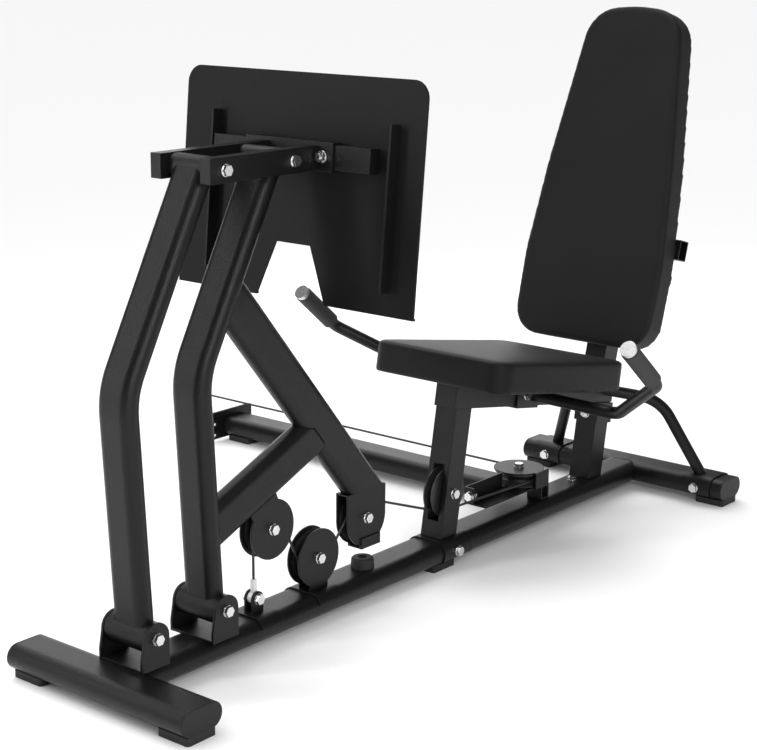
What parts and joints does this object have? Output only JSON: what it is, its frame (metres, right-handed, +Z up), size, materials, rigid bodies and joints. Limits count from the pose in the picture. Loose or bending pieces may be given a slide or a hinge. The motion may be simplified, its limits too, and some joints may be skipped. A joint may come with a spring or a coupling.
{
  "type": "leg press machine",
  "caption": "Seated leg press with a foot plate on a four-bar arm linkage, a forked lever with cable pulleys, a padded seat and backrest on a floor frame, and side hand grips.",
  "frame": {"origin": "on the floor under the middle of the whole machine, cable tail left out", "axes": "+X from the foot plate towards the backrest along the rail, +Y towards the connecting tube, +Z up"},
  "size_m": [1.7144, 1.4794, 1.0881],
  "materials": {
    "frame_paint": "dark grey fine-texture powder coat",
    "cap_plastic": "moulded matt black",
    "pad_rubber": "matt black rubber",
    "bush_plastic": "black nylon",
    "pulley_plastic": "black nylon",
    "board_wood": "plywood, dark stained",
    "seat_vinyl": "black upholstery vinyl",
    "back_vinyl": "black upholstery vinyl",
    "grip_foam": "soft foam",
    "cap_chrome": "polished",
    "bolt_chrome": "bright zinc",
    "cable_black": "black coated wire rope",
    "eye_steel": "zinc",
    "ferrule_white": "white sleeve"
  },
  "bodies": {
    "frame": {"arm_clevises": "frame_paint", "back_board": "board_wood", "back_pad": "back_vinyl", "back_post": "frame_paint", "back_rails": "frame_paint", "block_bracket": "frame_paint", "block_stand": "frame_paint", "bump_stop": "pad_rubber", "cable_anchor": "frame_paint", "cable_ferrule": "ferrule_white", "cable_fixed": "cable_black", "cable_span_anchor": "cable_black", "cable_span_brace": "cable_black", "cable_span_fork": "cable_black", "cable_span_post": "cable_black", "cable_tail": "cable_black", "cable_tail_eye": "eye_steel", "connecting_tube": "frame_paint", "end_caps": "cap_plastic", "floor_pads": "pad_rubber", "frame_bolts": "bolt_chrome", "front_base_tube": "frame_paint", "front_rail": "frame_paint", "front_seat_post": "frame_paint", "grip_caps": "cap_chrome", "hand_grips": "grip_foam", "handle_bracket": "frame_paint", "handle_tubes": "frame_paint", "mount_plate": "frame_paint", "rail_cheeks": "frame_paint", "rail_saddle": "frame_paint", "rear_base_tube": "frame_paint", "rear_braces": "frame_paint", "rear_post_collar": "frame_paint", "rear_rail": "frame_paint", "rear_seat_post": "frame_paint", "seat_beam": "frame_paint", "seat_board": "board_wood", "seat_pad": "seat_vinyl"},
    "rear_arm": {"rear_arm_tube": "frame_paint", "lever_beam": "frame_paint", "lever_brace": "frame_paint", "lever_fork": "frame_paint", "brace_cheeks": "frame_paint", "rear_arm_bushings": "bush_plastic", "lever_bolts": "bolt_chrome", "cable_wraps": "cable_black"},
    "front_arm": {"front_arm_tube": "frame_paint", "front_arm_bushings": "bush_plastic"},
    "carrier": {"carrier_bars": "frame_paint", "carrier_sleeve": "frame_paint", "foot_crossbar": "frame_paint", "footplate": "frame_paint", "foot_ribs": "frame_paint", "carrier_bolts": "bolt_chrome"},
    "pulley_brace": {"sheave_brace": "pulley_plastic"},
    "pulley_rail": {"sheave_rail": "pulley_plastic"},
    "pulley_fork": {"sheave_fork": "pulley_plastic"},
    "pulley_post": {"sheave_post": "pulley_plastic"},
    "pulley_flat": {"sheave_flat": "pulley_plastic"}
  },
  "joints": [
    {"name": "rear_arm_swing", "type": "hinge", "parent": "frame", "child": "rear_arm", "pos_m": [-0.59175, -0.27025, 0.1107], "axis": [0, -1, 0], "range_deg": [-3, 32], "deforming": ["cable_span_anchor", "cable_span_brace", "cable_span_fork", "cable_span_post"]},
    {"name": "front_arm_swing", "type": "hinge", "parent": "frame", "child": "front_arm", "pos_m": [-0.75575, -0.27025, 0.1107], "axis": [0, -1, 0], "range_deg": [-3, 32]},
    {"name": "carrier_level", "type": "hinge", "parent": "rear_arm", "child": "carrier", "pos_m": [-0.43144, -0.27025, 0.86791], "axis": [0, -1, 0], "range_deg": [-32, 3]},
    {"name": "pulley_brace_spin", "type": "hinge", "parent": "rear_arm", "child": "pulley_brace", "pos_m": [-0.43475, -0.27025, 0.208], "axis": [0, -1, 0], "continuous": true},
    {"name": "pulley_rail_spin", "type": "hinge", "parent": "frame", "child": "pulley_rail", "pos_m": [-0.31075, -0.27025, 0.12], "axis": [0, -1, 0], "continuous": true},
    {"name": "pulley_fork_spin", "type": "hinge", "parent": "rear_arm", "child": "pulley_fork", "pos_m": [-0.17375, -0.27025, 0.163], "axis": [0, -1, 0], "continuous": true},
    {"name": "pulley_post_spin", "type": "hinge", "parent": "frame", "child": "pulley_post", "pos_m": [0.08525, -0.27025, 0.149], "axis": [0, -1, 0], "continuous": true},
    {"name": "pulley_flat_spin", "type": "hinge", "parent": "frame", "child": "pulley_flat", "pos_m": [0.38525, -0.24525, 0.107], "axis": [0, 0, 1], "continuous": true}
  ],
  "couplings": [
    {"joint": "front_arm_swing", "follows": "rear_arm_swing", "ratio": 1},
    {"joint": "carrier_level", "follows": "rear_arm_swing", "ratio": -1}
  ]
}
